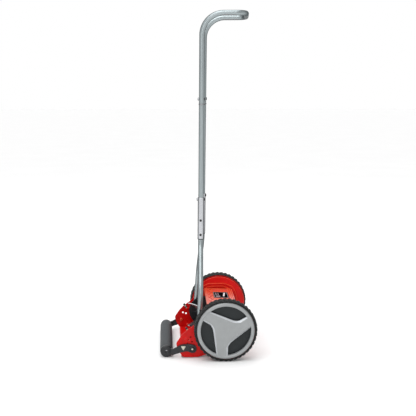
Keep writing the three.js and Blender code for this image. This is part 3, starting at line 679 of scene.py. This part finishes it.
def wheel_gear_ribs():
    """Radial ribs on the inner face of the wheel's web."""
    parts = []
    for k in range(12):
        angle = 2 * math.pi * k / 12
        out = Vector((math.cos(angle), 0, math.sin(angle)))
        across = Vector((-math.sin(angle), 0, math.cos(angle)))
        centre = Vector((AXLE[0], 0, AXLE[1]))
        ring = [centre + out * r + across * w for r, w in ((18, -1), (68, -1), (68, 1), (18, 1))]
        parts.append(prism(*([p + Vector((0, y, 0)) for p in ring] for y in (194.1, 195.5))))
    return merged(*parts)


# ---------------------------------------------------------------- chassis
def gear_cover_shape():
    """The round cover with its rim and two raised ribs that follow a blunt polygon."""
    face, rim = 168.4, 177.4
    disc = about_y([
        (9, face), (99.4, face), (99.9, face + 0.5), (99.9, rim - 0.5), (99.5, rim), (98.5, rim),
        (98.1, rim - 0.5), (98.1, face + 2), (9, face + 2),
    ], AXLE, 112)
    outer = [(-84, 140), (-70, 167), (-40, 182.5), (21, 182.5), (54.5, 169), (66, 148), (72, 118), (66, 84),
             (50, 62)]
    inner = [(-66, 150), (-46, 168), (-24, 172), (14, 172), (38, 164), (52, 148), (59, 120), (52, 92)]
    ribs = [ridge(soften(path, 6, 3, closed=False), face + 0.2, face - 3.1, 2.6, 1.3)
            for path in (outer, inner)]
    return merged(disc, *ribs)


def emboss(outline, low, high, reach):
    """A raised pad: the outline at y = low, drawn in by reach at y = high."""
    base = [Vector(p) for p in outline]
    centre = sum(base, Vector((0, 0))) / len(base)
    top = [p + (centre - p).normalized() * reach for p in base]
    return prism([Vector((p.x, low, p.y)) for p in base], [Vector((p.x, high, p.y)) for p in top])


ROOF_REAR, ROOF_FRONT = Vector((-57.0, 167.0)), Vector((49.0, 163.5))


def deflector_shape():
    """The folded sheet: a top, a short rear flange and a front lip."""
    half, thick = 164.4, 2.1
    (rear_x, rear_z), (front_x, front_z) = ROOF_REAR, ROOF_FRONT
    outline = soften([
        (rear_x, rear_z - 11), (rear_x, rear_z), (front_x, front_z), (front_x + 5, front_z - 20),
        (front_x + 3, front_z - 20), (front_x - 2, front_z - thick), (rear_x + 2, rear_z - thick),
        (rear_x + 2, rear_z - 11),
    ], 4.5, 6)
    return slab([tuple(p) for p in outline], -half, half)


def roof_height(x):
    share = (x - ROOF_REAR.x) / (ROOF_FRONT.x - ROOF_REAR.x)
    return ROOF_REAR.y + (ROOF_FRONT.y - ROOF_REAR.y) * share


def roof_rib(path, foot_half, crest_half, height):
    """A pressed rib on the cover, along a path of (x, y)."""
    foot = -0.4
    section = ((-foot_half, foot), (-crest_half, height), (crest_half, height), (foot_half, foot))
    return rib(path, section, lambda spot, lift: Vector((spot.x, spot.y, roof_height(spot.x) + lift)))


def film(outline, low, high):
    """A thin film on the cover, from low to high above it."""
    base, top = ([Vector((x, y, roof_height(x) + lift)) for x, y in outline] for lift in (low, high))
    return prism(base, top)


def decal_shape():
    """A thin label with rounded corners lying on the cover."""
    return film(soften([(-26.5, 19), (29.5, 19), (29.5, 103), (-26.5, 103)], 4, 4), 0.35, 0.8)


def print_patch(corners):
    """A printed area on the label, given by its (x, y) corners."""
    return film(corners, 0.7, 0.87)


def print_box(x_low, x_high, y_low, y_high):
    return print_patch([(x_low, y_low), (x_high, y_low), (x_high, y_high), (x_low, y_high)])


def plate_details(side, sign):
    """A pressed pad and dark plugs on the outer face of a side plate."""
    pad = emboss(soften([(-60, 150), (-20, 152), (-10, 132), (-50, 128)], 8, 4), PLATE_OUTER - 0.1,
                 PLATE_OUTER + 0.28, 2.0)
    make("plate_pad_" + side, mirrored(pad, sign), "red_paint", "chassis")
    plugs = [emboss(circle(spot, radius, 24), PLATE_OUTER - 0.1, PLATE_OUTER + 0.6, 0.9)
             for spot, radius in (((-120.5, 75), 3.2), ((-116, 58), 3.2), ((-132, 53), 2.8))]
    # The plugs are wholly dark red, painted shade standing in for shaded holes in the plate.
    make("plate_plugs_" + side, mirrored(merged(*plugs), sign), "red_paint", "chassis", second=PLUG_PAINTED_SHADE)


def plate_rivets(side, sign):
    profile = [(0, 169.4), (3.2, 169.0), (4.1, 168.3), (4.1, 167.6), (0, 167.6)]
    rivets = [about_y(profile, spot, 24) for spot in (HANDLE_PIVOT, (-66, 40))]
    make("plate_rivets_" + side, mirrored(merged(*rivets), sign), "red_paint", "chassis")


def label_prints():
    """A frame line, a slanted bar and plain blocks; no text."""
    border = [print_box(-24.5, 27.5, 21, 21.9), print_box(-24.5, 27.5, 100.1, 101),
              print_box(-24.5, -23.6, 21.9, 100.1), print_box(26.6, 27.5, 21.9, 100.1),
              print_patch([(8, 40), (14, 40), (20, 92), (14, 92)])]
    make("label_stripes", merged(*border), "label", "chassis", second=PRINT_WHITE)
    blocks = [print_box(-18, -2, 30, 48), print_box(-18, -14, 56, 90), print_box(-10, -6, 56, 84)]
    make("label_blocks", merged(*blocks), "label", "chassis", second=PRINT_GREY)


def chassis():
    for side, sign in SIDES:
        refined("side_plate_" + side, "red_paint", 0.7)
        plate_details(side, sign)
        # The gear cover's sloping rib and rim faces take the lighter sheen red, a painted reflection.
        make("cover_disc_" + side, mirrored(gear_cover_shape(), sign), "red_plastic", "chassis",
             ("gear_cover_" + side,), 0.3, second=ROOF_PAINTED_SHEEN, where=sloping(0.15, 0.96))
        refined("stub_axle_" + side, "bright_steel", 0.4)
        refined("reel_bearing_" + side, "black_plastic", 0.4)
        plate_rivets(side, sign)
    # The whole cover sheet takes the lighter sheen red, a painted reflection.
    make("cover_sheet", deflector_shape(), "red_paint", "chassis", ("deflector_cover",), 0.3,
         second=ROOF_PAINTED_SHEEN)
    # The ribs' flat crests take the light salmon tone, a painted highlight.
    make("cover_ribs", cover_ribs_shape(), "red_paint", "chassis", bevel=0.2, second=RIB_CREST_HIGHLIGHT,
         where=lambda face: abs(face.normal.z) > 0.93)
    make("label_plate", decal_shape(), "label", "chassis", ("cover_decal",))
    label_prints()


def cover_ribs_shape():
    """Ribs along the cover's rear and front, a zigzag between them and cross ribs at the ends."""
    reach = 150
    parts = [roof_rib([(x, -reach), (x, reach)], 2.8, 0.8, 1.9) for x in (-51, 33, 41, 48)]
    zigzag = [(-45 if k % 2 else -32, -reach + 25 * k) for k in range(13)]
    parts.append(roof_rib(zigzag, 4.6, 1.0, 2.0))
    for sign in (-1, 1):
        for y in (118, 131, 144):
            parts.append(roof_rib([(-26, sign * y), (32, sign * y)], 2.0, 0.8, 1.5))
    return merged(*parts)


# ---------------------------------------------------------------- reel
REEL_HALF = 138.0
BLADES = 5
BLADE_ROOT, BLADE_TIP = 45.0, 70.0
TWIST = math.radians(66)
PHASE = math.radians(48.9)


def blade_angle(index, y):
    return PHASE + index * 2 * math.pi / BLADES + TWIST * y / (2 * REEL_HALF)


def blade_section():
    """Radius and distance across, from the root round the tip; points 3 to 5 bound the ground edge."""
    tip = BLADE_TIP - 0.05
    return [(BLADE_ROOT, 1.5), (BLADE_ROOT, -1.5), (66.5, -1.5), (tip, -1.5), (tip, -1.0), (68.9, 0.9),
            (66.8, 1.5)]


def blade_shape(index):
    steps = 56
    section = blade_section()
    count = len(section)
    vertices, faces = [], []
    for k in range(steps + 1):
        y = -REEL_HALF + 2 * REEL_HALF * k / steps
        angle = blade_angle(index, y)
        for radius, across in section:
            reach = math.sqrt(radius ** 2 - across ** 2)
            x = REEL[0] + reach * math.cos(angle) - across * math.sin(angle)
            z = REEL[1] + reach * math.sin(angle) + across * math.cos(angle)
            vertices.append(Vector((x, y, z)))
    for k in range(steps):
        for c in range(count):
            a, b = count * k + c, count * k + (c + 1) % count
            faces.append([a, b, b + count, a + count])
    last = count * steps
    return vertices, faces + [list(range(count)), list(range(last, last + count))]


def shaft_boss(foot, end):
    """A boss round the reel shaft, from y = foot to y = end."""
    shoulder = end - math.copysign(0.6, end - foot)
    return about_y([(7.3, foot), (7.3, end), (10.4, end), (11, shoulder), (12, foot)], REEL, 40)


def spider_shape():
    """A pressed star with flanged arms and a boss round the shaft."""
    outline = []
    for i in range(BLADES):
        angle = blade_angle(i, 0)
        for radius, turn in ((44.2, -0.16), (44.2, 0.16), (23.5, 0.5), (22.4, 0.63), (23.5, 0.76)):
            outline.append(polar(REEL, radius, angle + turn))
    outline = [tuple(p) for p in soften(outline, 3, 3)]
    plate = slab(outline, -1.45, 1.45, [list(reversed(circle(REEL, 7.4, 40)))])
    ribs = []
    for i in range(BLADES):
        angle = blade_angle(i, 0)
        path = [polar(REEL, 13, angle), polar(REEL, 40, angle)]
        ribs += [ridge(path, way * 1.3, way * 2.9, 3.4, 2.0) for way in (1, -1)]
    return merged(plate, shaft_boss(-1, -7), shaft_boss(1, 7), *ribs)


def disc_shape():
    """An end disc: a pressed ring, five shallow spokes and a boss round the shaft."""
    low, high, radius = REEL_HALF + 0.35, REEL_HALF + 2.65, 57.9
    disc = about_y([
        (7.35, low), (radius - 0.5, low), (radius, low + 0.5), (radius, high - 0.5), (radius - 0.5, high),
        (7.35, high),
    ], REEL, 96)
    ring = about_y([(50, low + 0.5), (50.6, low - 0.9), (53.4, low - 0.9), (54, low + 0.5)], REEL, 96)
    spokes = []
    for i in range(BLADES):
        angle = blade_angle(i, low) + math.pi / BLADES
        path = [polar(REEL, 14, angle), polar(REEL, 50, angle)]
        spokes.append(ridge(path, low + 0.2, low - 1.0, 4.2, 2.8))
    return merged(disc, shaft_boss(low + 1, low - 7), ring, *spokes)


def reel():
    end, shoulder = 193.8, 158.0
    shaft = about_y([
        (0, -end), (6.2, -end), (6.9, -end + 0.7), (6.9, -shoulder), (6.9, shoulder), (6.9, end - 0.7),
        (6.2, end), (0, end),
    ], REEL, 48, closed=False)
    make("reel_spindle", shaft, "bright_steel", "reel", ("reel_shaft",))
    count = len(blade_section())

    def on_ground_edge(face):
        return len(face.vertices) == 4 and all(3 <= index % count <= 5 for index in face.vertices)

    for i in range(BLADES):
        make(f"blade_{i + 1}", blade_shape(i), "blade_steel", "reel", (f"reel_blade_{i + 1}",),
             second=GROUND_EDGE, where=on_ground_edge)
    make("spider_middle", spider_shape(), "black_paint", "reel", ("reel_spider",), 0.3)
    for side, sign in SIDES:
        refined("pinion_" + side, "black_plastic", 0.2)
        make("end_disc_" + side, mirrored(disc_shape(), sign), "black_paint", "reel",
             ("reel_disc_" + side,), 0.2)
        collar = about_y([(6.95, 152), (10.5, 152), (11, 152.5), (11, 156.9), (10.5, 157.4), (6.95, 157.4)],
                         REEL, 40)
        make("shaft_collar_" + side, mirrored(collar, sign), "bright_steel", "reel")


# ---------------------------------------------------------------- bed knife
KNIFE_TOP = 16.3
KNIFE_RADIUS = 70.5  # from the reel's axis to the edge
KNIFE_EDGE = REEL[0] - math.sqrt(KNIFE_RADIUS ** 2 - (REEL[1] - KNIFE_TOP) ** 2)


def knife_shape():
    top, edge, rear = KNIFE_TOP - 0.05, KNIFE_EDGE - 0.1, KNIFE_EDGE - 26.9
    outline = [(rear, 13.35), (KNIFE_EDGE - 3, 13.35), (edge, top - 0.75), (edge, top), (rear, top)]
    return slab(outline, -146.7, 146.7)


def adjuster(side, sign):
    """The screw that sets the bed knife, with its grooved knob and its nut."""
    head, tip = Vector((-134.85, 0, 104.75)), Vector((-125, 0, 88.7))
    axis = (tip - head).normalized()
    origin = head + Vector((0, 156, 0))
    length = (tip - head).length
    knob = lathed([(0, -2.9), (2.6, -2.9), (3.4, -2.5), (3.9, -1.7), (4.1, -0.6), (4.1, 2.6),
                   (3.8, 3.0), (0, 3.0)], origin, axis, 36)
    grooves = []
    side_axis = axis.orthogonal().normalized()
    other = axis.cross(side_axis)
    for k in range(12):
        angle = 2 * math.pi * k / 12
        spot = origin + (side_axis * math.cos(angle) + other * math.sin(angle)) * 3.6
        grooves.append(lathed([(0, 0), (0.7, 0), (0.7, 2.8), (0, 2.8)], spot, axis, 10))
    make("adjuster_knob_" + side, mirrored(merged(knob, *grooves), sign), "black_plastic", "chassis")
    thread = [(0, 2.9), (2.9, 2.9)]
    turns = 16
    pitch = (length - 4.4) / turns
    for k in range(turns):
        start = 3.2 + pitch * k
        thread += [(2.9, start), (2.35, start + pitch * 0.5)]
    thread += [(2.9, length - 1.1), (2.0, length - 0.1), (0, length - 0.1)]
    make("adjuster_thread_" + side, mirrored(lathed(thread, origin, axis, 28), sign), "zinc", "chassis",
         ("adjuster_screw_" + side,))
    nut_start = length * 0.5
    nut = lathed([(3, nut_start), (5.0, nut_start), (5.4, nut_start + 0.5), (5.4, nut_start + 3.6),
                  (5.0, nut_start + 4.1), (3, nut_start + 4.1)], origin, axis, 6)
    make("adjuster_nut_" + side, mirrored(nut, sign), "black_plastic", "chassis", bevel=0.3)


def knife():
    make("knife_bar", knife_shape(), "blade_steel", "bed_knife", ("bed_knife",), 0.15, 25,
         GROUND_EDGE, lambda face: face.center.x > ORIGIN_X + (KNIFE_EDGE - 2) * MM)
    refined("bed_knife_carrier", "red_paint", 0.5)
    screws = []
    for y in (-120, -60, 0, 60, 120):
        screws.append(lathed([(0, 0.9), (2.2, 0.9), (4.4, 0.2), (4.9, -0.2), (4.9, -0.6), (0, -0.6)],
                             (KNIFE_EDGE - 17, y, KNIFE_TOP), (0, 0, 1), 24))
    make("knife_screws", merged(*screws), "zinc", "bed_knife", smooth=25)
    for side, sign in SIDES:
        adjuster(side, sign)
        round_head(side, sign, "knife_pivot_bolt_", KNIFE_PIVOT, 161.2, 3.35, 5.5, 3.1)
        washer = about_y([(0, 167.9), (6.4, 167.9), (6.4, 168.9), (5.4, 170.2), (3.4, 171.0), (0, 171.2)],
                         KNIFE_PIVOT, 40)
        make("knife_pivot_head_" + side, mirrored(washer, sign), "red_paint", "chassis")


def round_head(side, sign, node, centre, start, shank, head, height):
    """A domed head at start, its shank running to the plate's outer face."""
    end = PLATE_OUTER
    profile = [(0, start - height), (head * 0.35, start - height), (head * 0.7, start - height * 0.85),
               (head * 0.93, start - height * 0.5), (head, start - height * 0.15), (head, start - 0.05),
               (shank, start), (shank, end - 0.4), (shank - 0.4, end - 0.05), (0, end - 0.05)]
    shape = about_y(profile, centre, 40, closed=False)
    # The dome takes the lighter sheen red, a painted highlight.
    make(node + "shape_" + side, mirrored(shape, sign), "red_paint", "chassis", (node + side,),
         second=ROOF_PAINTED_SHEEN, where=sloping(0.8, 0.999))


# ---------------------------------------------------------------- roller
def roller_shape():
    """A tube with shallow grooves turned into it at even distances."""
    outer, bore, half = 22.45, 5.35, 148.0
    profile = [(bore, -half), (outer - 1.2, -half), (outer - 0.3, -half + 0.5), (outer, -half + 1.5)]
    grooves = 24
    for k in range(grooves):
        y = -half + 2 * half * (k + 1) / (grooves + 1)
        profile += [(outer, y - 1.4), (outer - 1.3, y - 0.8), (outer - 1.3, y + 0.8), (outer, y + 1.4)]
    profile += [(outer, half - 1.5), (outer - 0.3, half - 0.5), (outer - 1.2, half), (bore, half)]
    return about_y(profile, ROLLER, 72)


def roller():
    make("roller_tube", roller_shape(), "roller_plastic", "roller", ("roller",))
    refined("roller_shaft", "bright_steel", 0.3)
    for side, sign in SIDES:
        refined("roller_arm_" + side, "black_paint", 0.6)
        rivet = about_y([(0, 176.7), (3, 176.6), (5.6, 176.0), (7.3, 174.9), (7.9, 173.9), (4.1, 173.7),
                         (4.1, 165.2), (0, 165.2)], ARM_PIVOT, 48, closed=False)
        make("arm_rivet_" + side, mirrored(rivet, sign), "black_paint", "chassis",
             ("arm_pivot_rivet_" + side,))
        collar = about_y([(8.3, 173.2), (8.3, 174.2), (9, 175), (13.6, 174.6), (14.4, 173.9),
                          (14.4, 173.2)], ARM_PIVOT, 56)
        make("arm_boss_" + side, mirrored(collar, sign), "black_paint", "roller_arms")
        core = about_y([(0, 177.3), (2.2, 177.2), (3.3, 176.7), (3.3, 176.0), (0, 176.0)], ARM_PIVOT, 32)
        make("arm_rivet_core_" + side, mirrored(core, sign), "zinc", "chassis")
        refined("arm_clamp_nut_" + side, "zinc", 0.5)
        stud = about_y([(0, 180.6), (2.4, 180.6), (3.0, 180.0), (3.0, 178), (0, 178)],
                       (ARM_CLAMP[0], ARM_CLAMP[1] - 2), 24)
        make("clamp_stud_" + side, mirrored(stud, sign), "zinc", "roller_arms")
        round_head(side, sign, "arm_clamp_bolt_", ARM_CLAMP, 164.7, 3.45, 7.3, 3.9)
        cap = about_y([(5.2, 162.0), (5.2, 163.2), (9, 163.2), (10, 162.4), (10, 161.8)], ROLLER, 40)
        make("arm_cap_ring_" + side, mirrored(cap, sign), "black_paint", "roller_arms")


# ---------------------------------------------------------------- handle
TUBE = 9.5
HANDLE_TURN = math.radians(5.5)
FORWARD = Vector((math.cos(HANDLE_TURN), -math.sin(HANDLE_TURN), 0))
SLEEVE_SIDE, MIDDLE_SIDE, GRIP_SIDE = 58.0, 74.0, 88.0
SLEEVE_LOW, SLEEVE_HIGH = 406.0, 555.0
MIDDLE_HIGH, GRIP_HEIGHT, GRIP_REACH = 884.0, 1193.0, 150.0
SLEEVE_X, LEAN = -74.2, 0.0099
FOOT_SIDE = 154.0


def handle_point(z, side):
    """A point of the leaning, slightly turned plane in which the upper handle lies."""
    x = SLEEVE_X + (z - SLEEVE_LOW) * LEAN
    return Vector((x + side * math.sin(HANDLE_TURN), side * math.cos(HANDLE_TURN), z))


def middle_line(sign):
    start = handle_point(SLEEVE_HIGH + 12, sign * SLEEVE_SIDE)
    end = handle_point(MIDDLE_HIGH, sign * MIDDLE_SIDE)
    return start, end, (end - start).normalized()


def grip_corner(side, forward):
    return handle_point(GRIP_HEIGHT, side) + FORWARD * forward


def grip_shape():
    _, right_end, right_way = middle_line(-1)
    _, left_end, left_way = middle_line(1)
    right_start, left_start = right_end + right_way * 0.4, left_end + left_way * 0.4
    corners = [
        right_start, right_start + right_way * 62,
        grip_corner(-GRIP_SIDE, 0), grip_corner(-GRIP_SIDE, GRIP_REACH),
        grip_corner(GRIP_SIDE, GRIP_REACH), grip_corner(GRIP_SIDE, 0),
        left_start + left_way * 62, left_start,
    ]
    path = bent_path(corners, [200, 74, 34, 34, 74, 200])
    return swept(path, TUBE - 0.1)


def joint_bolt(name, centre, radius, node):
    """A domed bolt head on the rear side, a washer, the shank, and a nut on the front side."""
    reach = radius + 0.3
    head = [(0, -reach - 4.1), (2.2, -reach - 4.05), (4.1, -reach - 3.4), (5.2, -reach - 2.2),
            (5.5, -reach - 1.0), (5.5, -reach - 0.3), (2.95, -reach), (2.95, reach + 2.0), (0, reach + 2.0)]
    make(name + "_head", lathed(head, centre, FORWARD, 36, closed=False), "bright_steel", "handle", (node,))
    nut = [(2.9, reach - 1.2), (5.2, reach - 1.2), (5.5, reach - 0.7), (5.5, reach + 1.2),
           (5.1, reach + 1.8), (2.9, reach + 1.8)]
    make(name + "_nut", lathed(nut, centre, FORWARD, 6), "black_paint", "handle", bevel=0.3)


def cross_bolt(name, centre, reach):
    """The ends of a short bolt across a sleeve: a round head at the right and a nut at the left."""
    sideways = Vector((FORWARD.y, -FORWARD.x, 0))
    head = [(0, reach + 3.0), (1.8, reach + 2.9), (3.4, reach + 2.3), (4.3, reach + 1.1),
            (4.5, reach - 0.6), (0, reach - 0.6)]
    nut = [(0, -reach - 2.6), (3.9, -reach - 2.6), (4.3, -reach - 2.1), (4.3, -reach + 0.6),
           (0, -reach + 0.6)]
    make(name + "_head", lathed(head, centre, sideways, 32), "black_paint", "handle")
    make(name + "_nut", lathed(nut, centre, sideways, 6), "bright_steel", "handle", bevel=0.3)


def handle():
    make("grip_tube", grip_shape(), "tube_paint", "handle", ("upper_grip",))
    for side, sign in SIDES:
        start, end, way = middle_line(sign)
        entry = handle_point(SLEEVE_LOW - 18, sign * SLEEVE_SIDE)
        pivot_x, pivot_z = HANDLE_PIVOT
        lean = (entry.x - pivot_x) / (entry.z - pivot_z)
        foot = Vector((pivot_x - 12 * lean, sign * FOOT_SIDE, pivot_z - 12))
        knee = Vector((pivot_x + (236 - pivot_z) * lean, sign * FOOT_SIDE, 236))
        top = handle_point(484, sign * SLEEVE_SIDE)
        lower = swept(bent_path([foot, knee, entry, top], [90, 60]), TUBE - 0.05)
        make("lower_leg_" + side, lower, "tube_paint", "handle", ("lower_tube_" + side,))

        middle_start = handle_point(492, sign * SLEEVE_SIDE)
        middle_tube = swept(bent_path([middle_start, start, end], [80]), TUBE - 0.05)
        spigot = lathed([(6.6, -10), (8.2, -10), (8.2, 11), (7.5, 12), (7.5, 43), (7.1, 44), (6.6, 44)],
                        end, way, 36)
        make("middle_leg_" + side, merged(middle_tube, spigot), "tube_paint", "handle",
             ("middle_tube_" + side,))

        low = handle_point(SLEEVE_LOW, sign * SLEEVE_SIDE)
        up = handle_point(SLEEVE_HIGH, sign * SLEEVE_SIDE) - low
        tube = lathed([(10.1, 0), (10.9, 0), (11.3, 0.5), (11.3, up.length - 0.5), (10.9, up.length),
                       (10.1, up.length)], low, up, 56)
        make("sleeve_tube_" + side, tube, "bright_steel", "handle", ("sleeve_" + side,))
        # A black ring at the sleeve's lower end: painted shade standing in for the shadow line where the
        # lower tube enters the sleeve.
        shade_ring = lathed([(9.6, -2.4), (10.8, -2.4), (11.25, -1.9), (11.25, -0.2), (9.6, -0.2)], low, up, 56)
        make("sleeve_seal_" + side, shade_ring, "black_plastic", "handle")

        bead = lathed([(9.4, -2.4), (10.4, -1.9), (10.4, -0.5), (9.6, 0), (10.4, 0.7), (10.4, 2.1),
                       (9.4, 2.6)], end, way, 40)
        make("joint_bead_" + side, bead, "bright_steel", "handle")
        joint_bolt("upper_joint_" + side, end + way * 18, TUBE, "upper_joint_bolt_" + side)
        joint_bolt("lower_joint_" + side, handle_point(SLEEVE_HIGH - 7, sign * SLEEVE_SIDE), 11.3,
                   "lower_joint_bolt_" + side)
        for number, z in enumerate((473, 421), start=1):
            cross_bolt(f"sleeve_bolt_{side}_{number}", handle_point(z, sign * SLEEVE_SIDE), 11.2)

        pivot = about_y([(0, 141.6), (3.5, 141.6), (5.8, 142.2), (6.9, 143.3), (6.9, 144.1), (4.15, 144.2),
                         (4.15, 167.6), (3.8, 168.0), (0, 168.0)], HANDLE_PIVOT, 40, closed=False)
        make("handle_pivot_" + side, mirrored(pivot, sign), "bright_steel", "handle",
             ("handle_pivot_bolt_" + side,))
        clip = clip_shape(sign, lean)
        band_edge = FOOT_SIDE + 10.62
        make("tube_clip_" + side, clip, "tube_paint", "handle", bevel=0.2, second=LOOKS["black_paint"],
             where=lambda face: abs(face.center.y) > band_edge * MM)


def clip_shape(sign, lean):
    """The clip round each lower tube, with its small bolt facing out."""
    height = 169.5
    centre = (HANDLE_PIVOT[0] + (height - HANDLE_PIVOT[1]) * lean, sign * FOOT_SIDE, height)
    band = lathed([(9.55, -4), (10.6, -4), (10.6, 4), (9.55, 4)], centre, (lean, 0, 1), 48)
    bolt = lathed([(0, 13.4), (1.8, 13.3), (3.1, 12.4), (3.5, 11.2), (3.5, 10.2), (0, 10.2)],
                  centre, (0, sign, 0), 28)
    return merged(band, bolt)


wheels()
chassis()
reel()
knife()
roller()
handle()
